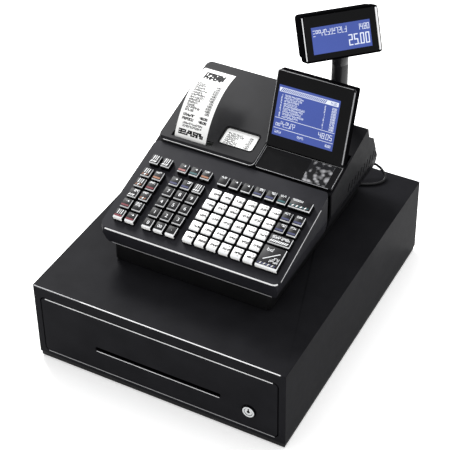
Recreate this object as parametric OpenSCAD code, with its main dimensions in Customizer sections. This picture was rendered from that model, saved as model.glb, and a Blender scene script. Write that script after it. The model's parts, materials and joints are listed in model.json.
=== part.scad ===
// Cash register on a steel cash drawer. Millimetres, +Z up, the front faces -Y.
// Inside the modules Y runs back from the drawer's front face and Z is zero 5 mm above the floor;
// at() puts a module's shapes in the frame.

/* [Drawer] */
// Width of the drawer housing
drawer_w = 400; // [396:1:410]
// Depth of the drawer housing
drawer_d = 470; // [465:1:480]
// Height of the housing's top above the datum that is 5 mm over the floor
drawer_h = 132; // [131:0.5:134]
// Sheet steel thickness
sheet = 1.5; // [1.2:0.1:1.6]

/* [Keyboard] */
// Slope of the keyboard deck in degrees
slope = 15; // [14:0.5:16]
// Key spacing from side to side
pitch_x = 19; // [19:0.25:19.5]
// Key spacing up the deck
pitch_s = 20; // [20:0.25:20.5]
// Height of a key top above the deck
key_top = 9; // [8:0.5:10]

/* [Displays] */
// Lean of the operator display from upright
display_lean = 20; // [18:1:24]
// Turn of the customer display about its mast
head_turn = 44; // [30:1:50]
// Backward lean of the customer display
head_lean = 26; // [20:1:28]
// Diameter of the display mast
mast_dia = 25; // [23:0.5:26]

/* [Hidden] */
$fn = 64;

// drawer
lift = 5;
base_z = 4;
skid = 3.5;
panel_gap = 1.8;
panel_w = 375.4;
panel_z0 = 12.9;
panel_z1 = drawer_h - 19.5;
panel_r = 6;
lock_x = 145;
lock_z = 43.5;
lock_r = 9;
lock_out = 3;
barrel_bore = 6.55;
slot_half = 101;
slot_z = 51.5;
slot_h = 7;
barrel_r = 8;
box_half = 183;
box_z = 16;
box_top = 95;
box_back = 445;
rail_z0 = 28;
rail_z1 = 62;
till_half = 179;
till_y0 = 36;
till_y1 = 438;
till_z0 = box_z + 1.2;
till_h = 66;
till_wall = 2.5;
coin_len = 104;
coin_y1 = till_y0 + coin_len - 0.4;
coin_h = 50;
coin_ramp = 16;
coins = 5;
bills = 4;
bolt_y = 455;
bolt_r = 3.5;
striker_z = 60;
striker_t = 4;
keeper = 5;
cable_hole = [72, 415];

// register case
case_z0 = 162;
deck_y0 = 96;
deck_z0 = drawer_h + 64.5;
deck_half = 142.5;
deck_len = 165;
deck_wall = 3;
nose = 4.2;
wall = 2.5;
rear_half = 144.5;
rear_drop = 4;
split_x = 24;
plinth_half = 125;
plinth_y0 = 101;
plinth_y1 = 404;
plinth_z0 = drawer_h + 3;

// keys
key_w = 14.8;
key_l = 16;
key_gap = 0.4;
clerk_x = -120;
number_x = -73;
dept_x = -7;
pay_x = 106.5;
last_row = 19.5;
first_row = 125.5;

// cover
cover_x0 = -139.7;
cover_x1 = 18.5;
cover_s0 = 166.6;
cover_s1 = 331;
cover_n = 7.4;
front_bevel = 4;
cover_pin_s = 322;
cover_pin_n = -1;
cover_pin_r = 2;
paper_x0 = -117.5;
paper_w = 52.5;

// printer
plate_t = 2;
platen_s = 184;
platen_n = -14;
shaft_r = 2.5;
gear_r = 8;
roll_s = 236;
roll_n = -36;
roll_r = 27;
core_r = 6;
spool_s = 286;
spool_n = -30;
running = 0.05;

// displays
disp_x = 82;
disp_x0 = -63.1;
disp_x1 = 59.2;
disp_h = 115.5;
disp_t = 16;
disp_y = 300;
disp_z = deck_z0 + 59.2;
disp_pin_y = 12;
disp_pin_z = -6;
disp_pin_len = 27.5;
lug_r = 4.6;
mast_x = 89;
mast_y = 398;
mast_top = 362;
tilt_z = 395.5;
head_x0 = -61;
head_x1 = 57;
head_h = 69.5;
head_t = 32;
head_piv_y = 14;
head_piv_z = -14;

// cable route, hand-set: from the plug on the rear panel round to the hole in the drawer top
cable_r = 2;
cable_route = [
    [104, 420, 147], [104, 428, 147.5], [105, 437, 149.5], [109, 446, 151.5], [117, 453, 152],
    [126, 457.5, 150.5], [135, 459, 146.5], [142.5, 457.5, 141.5], [148, 453, 137.4],
    [150, 446, 134.8], [147.5, 438.5, 134.2], [141.5, 431.5, 134.2], [133, 425.5, 134.2],
    [124, 420.8, 134.2], [114, 417.4, 134.2], [105, 415.8, 134.2], [97.5, 415.2, 134.2],
    [93.6, 415, 134.2], [89.2, 415, 135], [85.4, 415, 137.4], [81.4, 415, 139.4],
    [76.8, 415, 138.8], [73.3, 415, 135.9], [72, 415, 131.5], [72, 415, 128]
];

function deck_y(s, n) = deck_y0 + s * cos(slope) - n * sin(slope);
function deck_z(s, n) = deck_z0 + s * sin(slope) + n * cos(slope);
function row_s(r) = r == 0 ? first_row : last_row + pitch_s * (5 - r);

module at() translate([0, (lock_out - drawer_d) / 2, lift]) children();
module on_deck(x = 0, s = 0, n = 0)
    at() translate([0, deck_y0, deck_z0]) rotate([slope, 0, 0]) translate([x, s, n]) children();
module on_display()
    at() translate([disp_x, disp_y, disp_z]) rotate([-display_lean, 0, 0]) children();
module on_head()
    at() translate([mast_x, mast_y, tilt_z]) rotate([0, 0, head_turn]) rotate([-head_lean, 0, 0])
        translate([0, -head_piv_y, -head_piv_z]) children();

// block between two corners
module block(a, b) translate(a) cube([b[0] - a[0], b[1] - a[1], b[2] - a[2]]);
// outline in Y and Z, pulled from x0 to x1
module along_x(x0, x1) translate([x0, 0, 0]) rotate([90, 0, 90]) linear_extrude(x1 - x0) children();
// outline in X and Z, pulled from y0 to y1
module along_y(y0, y1) translate([0, y1, 0]) rotate([90, 0, 0]) linear_extrude(y1 - y0) children();
// rod along X
module rod_x(x0, x1, r) translate([x0, 0, 0]) rotate([0, 90, 0]) cylinder(h = x1 - x0, r = r);
// rounded rectangle from corner a to corner b
module rrect(a, b, r) {
    translate([a[0] + r, a[1]]) square([b[0] - a[0] - 2 * r, b[1] - a[1]]);
    translate([a[0], a[1] + r]) square([b[0] - a[0], b[1] - a[1] - 2 * r]);
    for (x = [a[0] + r, b[0] - r], y = [a[1] + r, b[1] - r]) translate([x, y]) circle(r);
}
module both_sides() { children(); mirror([1, 0, 0]) children(); }

// ---------------------------------------------------------------- drawer

module drawer_housing() color("#232326") at() {
    w = drawer_w / 2;
    difference() {
        block([-w, 0, base_z], [w, drawer_d, drawer_h]);
        block([-w + sheet, sheet, base_z - 1], [w - sheet, drawer_d - sheet, drawer_h - sheet]);
        along_y(-1, sheet + 1)
            rrect([-panel_w / 2 - panel_gap, panel_z0 - panel_gap],
                  [panel_w / 2 + panel_gap, panel_z1 + panel_gap], panel_r + panel_gap);
        translate([cable_hole[0], cable_hole[1], drawer_h - 5]) cylinder(h = 10, r = 5);
    }
}

// floor of the drawer housing, with a sunken skid under it that leaves a shadow gap
module drawer_base() color("#1c1c1f") at() {
    w = drawer_w / 2 - sheet - 0.1;
    block([-w, sheet + 0.1, base_z], [w, drawer_d - sheet - 0.1, base_z + sheet]);
    difference() {
        block([-w, sheet + 0.1, -skid], [w, drawer_d - sheet - 0.1, base_z]);
        block([-w + 12, sheet + 12, -skid - 1], [w - 12, drawer_d - sheet - 12, base_z]);
    }
    both_sides() block([w - 1.2, 12, base_z + sheet], [w, drawer_d - 12, base_z + 12]);
}

// four feet under the drawer and four under the register
module rubber_feet() color("#111113") at() {
    for (x = [-165, 165], y = [40, drawer_d - 40])
        translate([x, y, -lift]) cylinder(h = lift + base_z, r = 10);
    for (x = [-105, 105], y = [120, 385])
        translate([x, y, drawer_h]) cylinder(h = plinth_z0 - drawer_h, r = 8);
}

module fixed_rails() color("#a9abb0") at() both_sides() {
    x1 = drawer_w / 2 - sheet - 0.1;
    block([x1 - sheet, 14, rail_z0], [x1, 462, rail_z1]);
    for (z = [rail_z0, rail_z1 - sheet]) block([x1 - 9, 14, z], [x1 - sheet, 462, z + sheet]);
}

module moving_rails() color("#b4b6ba") at() both_sides() {
    x0 = box_half;
    block([x0, 16, rail_z0 + 3], [x0 + sheet, 440, rail_z1 - 3]);
    for (z = [rail_z0 + 3, rail_z1 - 3 - sheet])
        block([x0 + sheet, 16, z], [x0 + 4.8, 440, z + sheet]);
}

module media_slot(y0, y1)
    along_y(y0, y1) rrect([-slot_half, slot_z - slot_h / 2], [slot_half, slot_z + slot_h / 2], 2.4);

// tray of the drawer: floor, sides and back; the drawer front closes its fourth side
module drawer_box() color("#2c2c30") at() {
    difference() {
        block([-box_half, 2, box_z], [box_half, box_back, box_top]);
        block([-box_half + 1.2, 1, till_z0], [box_half - 1.2, box_back - 1.2, box_top + 1]);
    }
    // striker that the latch bolt locks, folded out of the back
    difference() {
        block([-14, box_back, striker_z], [14, box_back + 18, striker_z + striker_t]);
        block([-keeper, bolt_y - keeper, striker_z - 1], [keeper, bolt_y + keeper, striker_z + 10]);
    }
    block([-14, box_back, striker_z - 7], [14, box_back + 1.5, striker_z]);
}

module drawer_front() color("#26262a") at() {
    difference() {
        along_y(0, 14) rrect([-panel_w / 2, panel_z0], [panel_w / 2, panel_z1], panel_r);
        along_y(2, 15) rrect([-panel_w / 2 + sheet, panel_z0 + sheet],
                             [panel_w / 2 - sheet, panel_z1 - sheet], panel_r - sheet);
        media_slot(-1, 3);
        translate([lock_x, -1, lock_z]) rotate([-90, 0, 0]) cylinder(h = 4, r = barrel_r + 0.1);
    }
}

module lock_barrel() color("#d9dadd") at() translate([lock_x, 0, lock_z]) rotate([-90, 0, 0])
    difference() {
        union() {
            translate([0, 0, -lock_out]) cylinder(h = lock_out, r = lock_r);
            cylinder(h = 22, r = barrel_r);
        }
        translate([0, 0, -lock_out - 1]) cylinder(h = lock_out + 24, r = barrel_bore);
    }

module lock_plug() color("#c4c6c9") at() translate([lock_x, 0, lock_z]) {
    difference() {
        rotate([-90, 0, 0]) translate([0, 0, -lock_out + 0.8])
            cylinder(h = 22 + lock_out - 0.8, r = barrel_bore - running);
        block([-0.7, -lock_out, 0], [0.7, 8, 4]);
        rotate([-90, 0, 0]) translate([0, 0, -lock_out]) cylinder(h = 8 + lock_out, r = 1.5);
    }
    // cam behind the barrel
    block([-5, 22, -5], [5, 24.5, 20]);
}

module latch_solenoid() color("#6b6e73") at() difference() {
    block([-17, bolt_y - 9, base_z + sheet], [17, bolt_y + 9, 50]);
    translate([0, bolt_y, 20]) cylinder(h = 40, r = bolt_r + running);
}

module latch_bolt() color("#c9cbce") at() translate([0, bolt_y, 30]) cylinder(h = 29, r = bolt_r);

function bill_w() = (2 * till_half - till_wall * (bills + 1)) / bills;
function coin_w() = (2 * till_half - till_wall * (coins + 1)) / coins;
function bill_x(i) = -till_half + till_wall + i * (bill_w() + till_wall);
function coin_x(i) = -till_half + till_wall + i * (coin_w() + till_wall);

// note side of the till, four bays open at the top
module cash_till() color("#1d1d20") at() difference() {
    block([-till_half, till_y0 + coin_len + till_wall, till_z0],
          [till_half, till_y1, till_z0 + till_h]);
    for (i = [0 : bills - 1])
        block([bill_x(i), till_y0 + coin_len + 2 * till_wall, till_z0 + till_wall],
              [bill_x(i) + bill_w(), till_y1 - till_wall, till_z0 + till_h + 1]);
}

// coin side of the till: lower, with ramps at both ends of each cup so that coins slide out
module coin_tray() color("#1d1d20") at() difference() {
    block([-till_half, till_y0, till_z0], [till_half, coin_y1 + till_wall, till_z0 + coin_h]);
    for (i = [0 : coins - 1])
        along_x(coin_x(i), coin_x(i) + coin_w()) polygon([
            [till_y0 + till_wall, till_z0 + coin_ramp],
            [till_y0 + coin_ramp, till_z0 + till_wall], [coin_y1 - coin_ramp, till_z0 + till_wall],
            [coin_y1, till_z0 + coin_ramp], [coin_y1, till_z0 + coin_h + 1],
            [till_y0 + till_wall, till_z0 + coin_h + 1]
        ]);
}

clip_y = 424;
clip_z = till_z0 + 57;
clip_len = 108;
clip_drop = 26;
module bill_clip(i) color("#8f9196") at()
    translate([bill_x(i) + bill_w() / 2, clip_y, clip_z]) {
        rod_x(-bill_w() / 2 + 0.3, bill_w() / 2 - 0.3, 2.5);
        rotate([clip_drop, 0, 0]) {
            block([-9, -clip_len, -1], [9, 0, 1]);
            translate([0, -clip_len, 0]) rod_x(-9, 9, 4);
        }
    }

// ---------------------------------------------------------------- register case

// plan outline of the case with rounded corners
module plan(half, y0, y1, r) translate([0, 0, 100]) linear_extrude(300) rrect([-half, y0], [half, y1], r);

// side walls that lean in below the deck, with their bottom edges cut off
module front_view(half, low, y0, y1)
    along_y(y0, y1) polygon([[-low + 3, case_z0], [low - 3, case_z0], [low, case_z0 + 6],
                             [half, deck_z0 - 1], [half, 400], [-half, 400], [-half, deck_z0 - 1],
                             [-low, case_z0 + 6]]);
// top of the keyboard's front face
function nose_y() = deck_y(-nose, 0);
function nose_z() = deck_z(-nose, 0);

module keyboard_solid(t, top) intersection() {
    along_x(-200, 200) polygon([
        [deck_y0 + 5 + t, case_z0 + (t > 0 ? -1 : 0)], [nose_y() + t, nose_z() - 4],
        [nose_y() + t, nose_z() - top - t * 0.2],
        [deck_y(deck_len, -top), deck_z(deck_len, -top)],
        [deck_y(deck_len, 0) + 1 + (t > 0 ? 5 : 0), case_z0 + (t > 0 ? -1 : 0)]
    ]);
    front_view(deck_half - t, deck_half - 5.5 - t, 50, 300);
    plan(deck_half - t, nose_y() + t, deck_y(deck_len, 0) + (t > 0 ? 20 : 1), 10 - t);
}

// pocket in the deck plate for one key
module key_hole(x, s, w, l) translate([x - w / 2 - key_gap, s - l / 2 - key_gap, -20])
    cube([w + 2 * key_gap, l + 2 * key_gap, 30]);

function numbers() = [for (r = [2 : 5], c = [0 : 2]) [number_x + c * pitch_x, row_s(r)]];
function wide() = key_w + pitch_x;
function tall() = key_l + pitch_s;
function clerk_spots() = [for (r = [0 : 5], c = [0 : 1]) [clerk_x + c * pitch_x, row_s(r)]];
function function_spots() = concat(
    [for (r = [0 : 1], c = [0 : 2]) [number_x + c * pitch_x, row_s(r)]],
    [for (c = [1 : 2]) [number_x + c * pitch_x, row_s(5)]],
    [for (r = [1 : 2], c = [0 : 1]) [pay_x + c * pitch_x, row_s(r)]]);
function dept_spots() = [for (r = [0 : 5], c = [0 : 5]) [dept_x + c * pitch_x, row_s(r)]];
function pay_mid() = pay_x + pitch_x / 2;
function cash_mid() = (row_s(4) + row_s(5)) / 2;

module keyboard_case() color("#2d2d31") {
    difference() {
        at() difference() {
            keyboard_solid(0, 0);
            difference() {
                keyboard_solid(wall, deck_wall);
                // flange that closes the gap between case and plinth
                difference() {
                    block([-200, 50, case_z0 - 1], [200, 300, case_z0 + wall]);
                    block([-plinth_half + 4, plinth_y0 + 4, case_z0 - 2], [plinth_half - 4, 400, 200]);
                }
            }
            block([-plinth_half + 4, plinth_y0 + 4, case_z0 - 2],
                  [plinth_half - 4, 300, case_z0 + wall + 1]);
        }
        on_deck() {
            for (p = concat(clerk_spots(), numbers(), function_spots(), dept_spots()))
                key_hole(p[0], p[1], key_w, key_l);
            key_hole(pay_mid(), row_s(0), wide(), key_l);
            key_hole(pay_mid(), row_s(3), wide(), key_l);
            key_hole(pay_mid(), cash_mid(), wide(), tall());
        }
    }
}

module base_case() color("#1b1b1e") at() difference() {
    linear_extrude(case_z0) rrect([-plinth_half, plinth_y0], [plinth_half, plinth_y1], 5);
    block([-200, 0, -1], [200, 500, plinth_z0]);
    translate([0, 0, plinth_z0 + wall]) linear_extrude(100)
        rrect([-plinth_half + wall, plinth_y0 + wall], [plinth_half - wall, plinth_y1 - wall], 3);
    // window for the connector panel
    block([-100, plinth_y1 - 5, plinth_z0 + 4], [116, plinth_y1 + 1, case_z0 - 3]);
}

rear_y0 = deck_y(deck_len, 0) + 1.4;
// lowest part of the rear face, from its foot up
rear_low = [426, case_z0];
rear_high = [432, 176];
// height of the rear case's sloping roof, rear_drop below the deck's plane
function roof_z(y) = deck_z0 + (y - deck_y0) * tan(slope) - rear_drop / cos(slope);
// side outline of the rear case: tall on the printer side, stepped behind the display
module rear_outline(tall_side, t) polygon(concat(
    [[rear_y0 - (t > 0 ? 5 : 0), case_z0 - (t > 0 ? 1 : 0)],
     [rear_y0 - (t > 0 ? 5 : 0), roof_z(rear_y0 - (t > 0 ? 5 : 0)) - t * (tall_side ? 1 : 1.2)]],
    tall_side
        ? [[406 - t, roof_z(406 - t) - t], [416 - t, 262]]
        : [[384 - t, roof_z(384 - t) - t], [391 - t, 244 - t], [407 - t, 238 - t]],
    [[rear_high[0] - t, rear_high[1]], [rear_low[0] - t, rear_low[1] - (t > 0 ? 1 : 0)]]));

module rear_solid(t) intersection() {
    union() {
        along_x(-200, split_x - t) rear_outline(true, t);
        along_x(split_x - t - 1, 200) rear_outline(false, t);
    }
    front_view(rear_half - t, rear_half - 7 - t, 200, 500);
    plan(rear_half - t, 200, 433 - t, 8 - t);
}

// sunken space that the foot of the operator display moves in
module trough() block([disp_x + disp_x0 - 0.6, 211.2, -16.5], [disp_x + disp_x1 + 0.6, 241.5, 5]);

// bearing that one pin of the operator display turns in
module display_lug(x) on_display() difference() {
    union() {
        block([x, disp_pin_y - lug_r, -18.5], [x + 6, disp_pin_y + lug_r, disp_pin_z]);
        translate([0, disp_pin_y, disp_pin_z]) rod_x(x, x + 6, lug_r);
    }
    translate([0, disp_pin_y, disp_pin_z]) rod_x(x - 1, x + 7, shaft_r + running);
}

module rear_shell() difference() {
    union() {
        at() difference() {
            rear_solid(0);
            rear_solid(wall);
        }
        at() difference() {
            // flange to the plinth and boss for the mast
            intersection() {
                rear_solid(0);
                block([-200, 200, case_z0], [200, 500, case_z0 + wall]);
            }
            block([-plinth_half + 4, 200, 150], [plinth_half - 4, plinth_y1 - 4, 200]);
        }
        at() translate([mast_x, mast_y, 190]) cylinder(h = 60, r = mast_dia / 2 + 3.5);
        // lugs that hold the cover's pins
        on_deck() for (x = [cover_x0 + 5, cover_x1 - 9])
            block([x, cover_pin_s - 4, -16], [x + 4, cover_pin_s + 4, 1.5]);
        // ridge that closes the back of the cover
        on_deck() block([cover_x0 + 4, cover_pin_s - 8, -8], [cover_x1 - 4, cover_pin_s - 5.5, 4.2]);
        // floor and walls of the trough
        on_deck() difference() {
            block([disp_x + disp_x0 - 2.3, 208.7, -19], [disp_x + disp_x1 + 2.3, 244, -rear_drop - 1]);
            trough();
        }
    }
    on_deck() trough();
    // bay that the printer sits in
    on_deck() block([-130, 160, -12], [16, 313, 5]);
    on_deck() translate([cover_x0, cover_pin_s, cover_pin_n])
        rod_x(0, cover_x1 - cover_x0, cover_pin_r + running);
    at() translate([mast_x, mast_y, 150]) cylinder(h = 120, r = mast_dia / 2 + 0.2);
    // slanted vents low on both side walls
    at() for (i = [0 : 9], k = [0 : 1]) both_sides()
        translate([rear_half - 20, 300 + i * 11 + k * 14, 178 + k * 22]) rotate([-25, 0, 0])
            cube([30, 3, 14]);
}

module rear_case() color("#2a2a2e") {
    rear_shell();
    for (x = [-28, 22]) display_lug(x);
}

module rear_panel() color("#b9bbbf") at() {
    block([-103, plinth_y1, plinth_z0 + 1], [119, plinth_y1 + 1.2, case_z0 - 1]);
    for (x = [-50, -20]) block([x, plinth_y1 + 1.2, 141], [x + 22, plinth_y1 + 4, 151]);
    block([20, plinth_y1 + 1.2, 141], [34, plinth_y1 + 3, 147]);
    block([44, plinth_y1 + 1.2, 141], [58, plinth_y1 + 3, 147]);
    block([70, plinth_y1 + 1.2, 140], [84, plinth_y1 + 5, 152]);
}

module mains_inlet() color("#151517") at() difference() {
    block([-96, plinth_y1 + 1.2, 139], [-68, plinth_y1 + 11, 155]);
    block([-92, plinth_y1 + 4, 142], [-72, plinth_y1 + 12, 152]);
}

module main_board() color("#1f5a35") at() {
    block([-105, 120, 142], [105, 255, 143.6]);
    for (p = [[-70, 150, 30], [10, 160, 24], [60, 200, 18]])
        block([p[0], p[1], 143.6], [p[0] + p[2], p[1] + p[2], 146.6]);
    for (x = [-98, 98], y = [127, 248]) translate([x, y, plinth_z0 + wall]) cylinder(h = 4.5, r = 3);
}

module power_supply() color("#84878c") at() {
    block([20, 320, plinth_z0 + wall], [72, 378, plinth_z0 + wall + 3]);
    block([24, 324, plinth_z0 + wall + 3], [68, 374, 184]);
}

module keyboard_board() color("#234f3a") on_deck() block([-132, 8, -14.6], [132, 150, -13]);

module display_strip() color("#0c0c0e") on_deck() translate([0, 0, -rear_drop])
    linear_extrude(rear_drop + 2.5) rrect([cover_x1 + 1.5, 169.5], [deck_half, 211], 3);

module case_screws() color("#8a8c90") at() {
    p = rear_low + 0.3 * (rear_high - rear_low);
    for (x = [-120, -40, 40, 120]) translate([x, p[0], p[1]])
        rotate([-90 - atan2(rear_high[0] - rear_low[0], rear_high[1] - rear_low[1]), 0, 0])
            cylinder(h = 1.6, r = 3.2);
}

// ---------------------------------------------------------------- printer

module cover_plate(t, n) translate([0, 0, n]) linear_extrude(cover_n - n)
    rrect([cover_x0 + t, cover_s0 + t], [cover_x1 - t, cover_s1 - t], 10 - t);

module printer_cover() color("#3a3a3e") on_deck() {
    difference() {
        cover_plate(0, -rear_drop + 0.6);
        difference() {
            cover_plate(wall, -rear_drop - 1);
            block([-200, 0, cover_n - wall], [200, 400, 20]);
        }
        // bevelled front edge
        along_x(cover_x0 - 1, cover_x1 + 1) polygon([
            [cover_s0 - 1, cover_n - front_bevel - 1], [cover_s0 - 1, cover_n + 1],
            [cover_s0 + front_bevel + 1, cover_n + 1]]);
        // the back stays open over the hinge
        block([cover_x0 + wall, cover_s1 - 12, -10], [cover_x1 - wall, cover_s1 + 1, cover_n - wall]);
        // receipt slot
        block([paper_x0 - 4, 176, 0], [paper_x0 + paper_w + 11, 185, 20]);
        // journal window
        translate([0, 0, 2]) linear_extrude(20) rrect([-48, 189], [5.5, 220], 4);
    }
    for (x = [cover_x0 + wall - 1, cover_x1 - 9.5]) translate([0, cover_pin_s, cover_pin_n])
        rod_x(x, x + 8, cover_pin_r);
}

module cover_window() color("#9fb4c0", 0.5) on_deck() translate([0, 0, 3.4])
    linear_extrude(1.5) rrect([-51, 186], [8.5, 223], 4);

// hole shapes in a side plate of the printer
module plate_hole(s, n, r) translate([0, s, n]) rod_x(-200, 200, r);

module printer_frame() color("#9a9ca1") {
    on_deck() difference() {
        union() {
            for (x = [-127, -60, 11]) block([x, 174, -68], [x + plate_t, 306, -8]);
            block([-127, 174, -70], [13, 306, -68]);
            // stubs that the paper rolls turn on
            translate([0, roll_s, roll_n]) {
                rod_x(-125, -121, core_r - running);
                rod_x(-71, -53, core_r - running);
                rod_x(-4, 11, core_r - running);
            }
        }
        plate_hole(platen_s, platen_n, shaft_r + running);
        plate_hole(spool_s, spool_n, shaft_r + running);
    }
    at() for (x = [-120, 2], y = [276, 376]) {
        z = deck_z((y - deck_y0 + 70 * -sin(slope)) / cos(slope), -70);
        block([x, y, plinth_z0 + wall], [x + 8, y + 8, z + 1]);
    }
}

module gear(r, teeth, w) linear_extrude(w) {
    circle(r - 1.2);
    for (i = [0 : teeth - 1]) rotate(i * 360 / teeth) translate([r - 2, -0.7]) square([2, 1.4]);
}

module platen_roller() color("#1a1a1c") on_deck() translate([0, platen_s, platen_n]) {
    rod_x(-128, 15.8, shaft_r);
    rod_x(-124, -61, 6);
    rod_x(-57, 9, 6);
    translate([13.4, 0, 0]) rotate([0, 90, 0]) gear(gear_r, 14, 2);
}

module paper_roll(x0) on_deck() translate([0, roll_s, roll_n]) difference() {
    rod_x(x0, x0 + paper_w, roll_r);
    rod_x(x0 - 1, x0 + paper_w + 1, core_r);
}
module receipt_roll() color("#f2f2ee") paper_roll(-122);
module journal_roll() color("#f2f2ee") paper_roll(-55);

module take_up_spool() color("#55585d") on_deck() translate([0, spool_s, spool_n]) {
    rod_x(-59.8, 14, shaft_r);
    rod_x(-57, 8, 9);
    rod_x(-57, -55, 16);
    rod_x(6, 8, 16);
}

// receipt that curls up out of the slot in one arc, centred below the cover
curl_r = 100.5;
curl_s = 259;
curl_n = -55.5;
curl_a0 = -53.5;
curl_a1 = 16;
curl_steps = 24;
function curl(q, k) = let (a = curl_a0 + (curl_a1 - curl_a0) * k / curl_steps)
    [curl_s + q * sin(a), curl_n + q * cos(a)];
module receipt_paper() color("#f6f6f2") on_deck() along_x(paper_x0, paper_x0 + paper_w)
    polygon(concat([for (k = [0 : curl_steps]) curl(curl_r + 0.25, k)],
                   [for (k = [curl_steps : -1 : 0]) curl(curl_r - 0.25, k)]));

// ---------------------------------------------------------------- displays

module display_housing() color("#17171a") on_display() {
    difference() {
        along_y(0, disp_t) rrect([disp_x0, 0], [disp_x1, disp_h], 3);
        along_y(-1, disp_t - 3) rrect([disp_x0 + 3, 3], [disp_x1 - 3, disp_h - 3], 2);
    }
    // neck with the pivot pins
    block([-18, disp_pin_y - 4, disp_pin_z - 4], [18, disp_t, 3.1]);
    translate([0, disp_pin_y, disp_pin_z]) rod_x(-disp_pin_len, disp_pin_len, shaft_r);
}

module display_glass() color("#0a0a0c") on_display() along_y(-1.6, 0)
    rrect([disp_x0, 0], [disp_x1, disp_h], 3);

module mast() color("#37373b") at() translate([mast_x, mast_y, 0]) difference() {
    translate([0, 0, 192]) cylinder(h = mast_top - 192, r = mast_dia / 2);
    translate([0, 0, 190]) cylinder(h = mast_top - 190 + 1, r = mast_dia / 2 - 2);
}

module mast_neck() color("#1c1c1f") at() translate([mast_x, mast_y, 0]) rotate([0, 0, head_turn]) {
    translate([0, 0, mast_top + 0.2]) cylinder(h = 386 - mast_top - 0.2, r = mast_dia / 2);
    translate([0, 0, mast_top - 16]) cylinder(h = 17, r = mast_dia / 2 - 2 - running);
    block([-9, -6, 384], [9, 8, tilt_z + 6]);
    translate([0, 0, tilt_z]) rod_x(-18, 18, 4);
}

module customer_housing() color("#131315") on_head() {
    h = head_h / 2;
    difference() {
        union() {
            along_y(0, 16) rrect([head_x0, -h], [head_x1, h], 5);
            along_y(15, head_t) rrect([head_x0 + 2, -h + 5], [head_x1 - 1, h - 0.5], 6);
        }
        along_y(-1, 3) rrect([head_x0 + 4.9, -h + 3], [head_x1 - 5.6, h - 3], 3);
        // slot that the neck tilts in, open below and behind
        block([-13.5, 3, -h - 1], [13.5, head_t + 1, 1]);
        translate([0, head_piv_y, head_piv_z]) rod_x(-18.5, 18.5, 4 + running);
        // hollow on both sides of the slot
        for (x = [[head_x0 + 12, -20], [20, head_x1 - 12]])
            block([x[0], 2, -h + 7], [x[1], head_t - 2, h - 7]);
    }
}

module customer_glass() color("#0a0a0c") on_head() along_y(-1.6, 3)
    rrect([head_x0 + 5, -head_h / 2 + 3.1], [head_x1 - 5.7, head_h / 2 - 3.1], 3);

// ---------------------------------------------------------------- cable

function unit(v) = v / norm(v);
function tangent(p, i) = unit(p[min(i + 1, len(p) - 1)] - p[max(i - 1, 0)]);
// Catmull-Rom point between p[i] and p[i + 1]
function cr(p, i, t) =
    let (a = p[max(i - 1, 0)], b = p[i], c = p[min(i + 1, len(p) - 1)], d = p[min(i + 2, len(p) - 1)])
    0.5 * (2 * b + (c - a) * t + (2 * a - 5 * b + 4 * c - d) * t * t
           + (3 * b - a - 3 * c + d) * t * t * t);
cable_sub = 2;
// a direction that the cable never runs in, which the tube's rings are turned by
tube_up = [-0.2, 0.6, 0.75];
cable_line = concat([for (i = [0 : len(cable_route) - 2], k = [0 : cable_sub - 1])
                     cr(cable_route, i, k / cable_sub)], [cable_route[len(cable_route) - 1]]);
module tube(p, r, sides) {
    rings = [for (i = [0 : len(p) - 1]) let (
        t = tangent(p, i), u = unit(cross(t, tube_up)), v = cross(t, u))
        for (k = [0 : sides - 1]) p[i] + r * (cos(k * 360 / sides) * u + sin(k * 360 / sides) * v)];
    n = len(p);
    polyhedron(rings, concat(
        [[for (k = [0 : sides - 1]) k]],
        [for (i = [0 : n - 2], k = [0 : sides - 1], half = [0, 1])
            let (a = i * sides + k, b = i * sides + (k + 1) % sides)
            half == 0 ? [a, a + sides, b + sides] : [a, b + sides, b]],
        [[for (k = [sides - 1 : -1 : 0]) (n - 1) * sides + k]]));
}
module drawer_cable() color("#18181a") at() tube(cable_line, cable_r, 8);

module cable_plug() color("#2a2a2c") at() {
    block([98, plinth_y1 + 1.2, 141], [110, plinth_y1 + 12, 153]);
    translate([104, plinth_y1 + 12, 147]) rotate([-90, 0, 0]) cylinder(h = 4, r = 4);
}

module cable_grommet() color("#0f0f10") at() translate([cable_hole[0], cable_hole[1], 0])
    difference() {
        union() {
            translate([0, 0, drawer_h]) cylinder(h = 2, r = 7);
            translate([0, 0, drawer_h - 4]) cylinder(h = 5, r = 4.9);
        }
        translate([0, 0, drawer_h - 5]) cylinder(h = 10, r = cable_r + 0.1);
    }

// ---------------------------------------------------------------- keys

// key cap, with the flange under the deck that stops it falling out
module key_cap(x, s, w, l) on_deck(x, s) {
    block([-w / 2, -l / 2, -6], [w / 2, l / 2, key_top]);
    block([-w / 2 - 1.2, -l / 2 - 1.2, -6], [w / 2 + 1.2, l / 2 + 1.2, -4.6]);
}
module key_group(spots) for (p = spots) key_cap(p[0], p[1], key_w, key_l);
module number_key(c, r) color("#222225") key_cap(number_x + c * pitch_x, row_s(r), key_w, key_l);
module cash_key() color("#222225") key_cap(pay_mid(), cash_mid(), wide(), tall());
module subtotal_key() color("#222225") key_cap(pay_mid(), row_s(3), wide(), key_l);
module receipt_key() color("#222225") key_cap(pay_mid(), row_s(0), wide(), key_l);
module clerk_keys() color("#222225") key_group(clerk_spots());
module function_keys() color("#222225") key_group(function_spots());
module department_keys() color("#e9e9e6") key_group(dept_spots());

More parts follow.
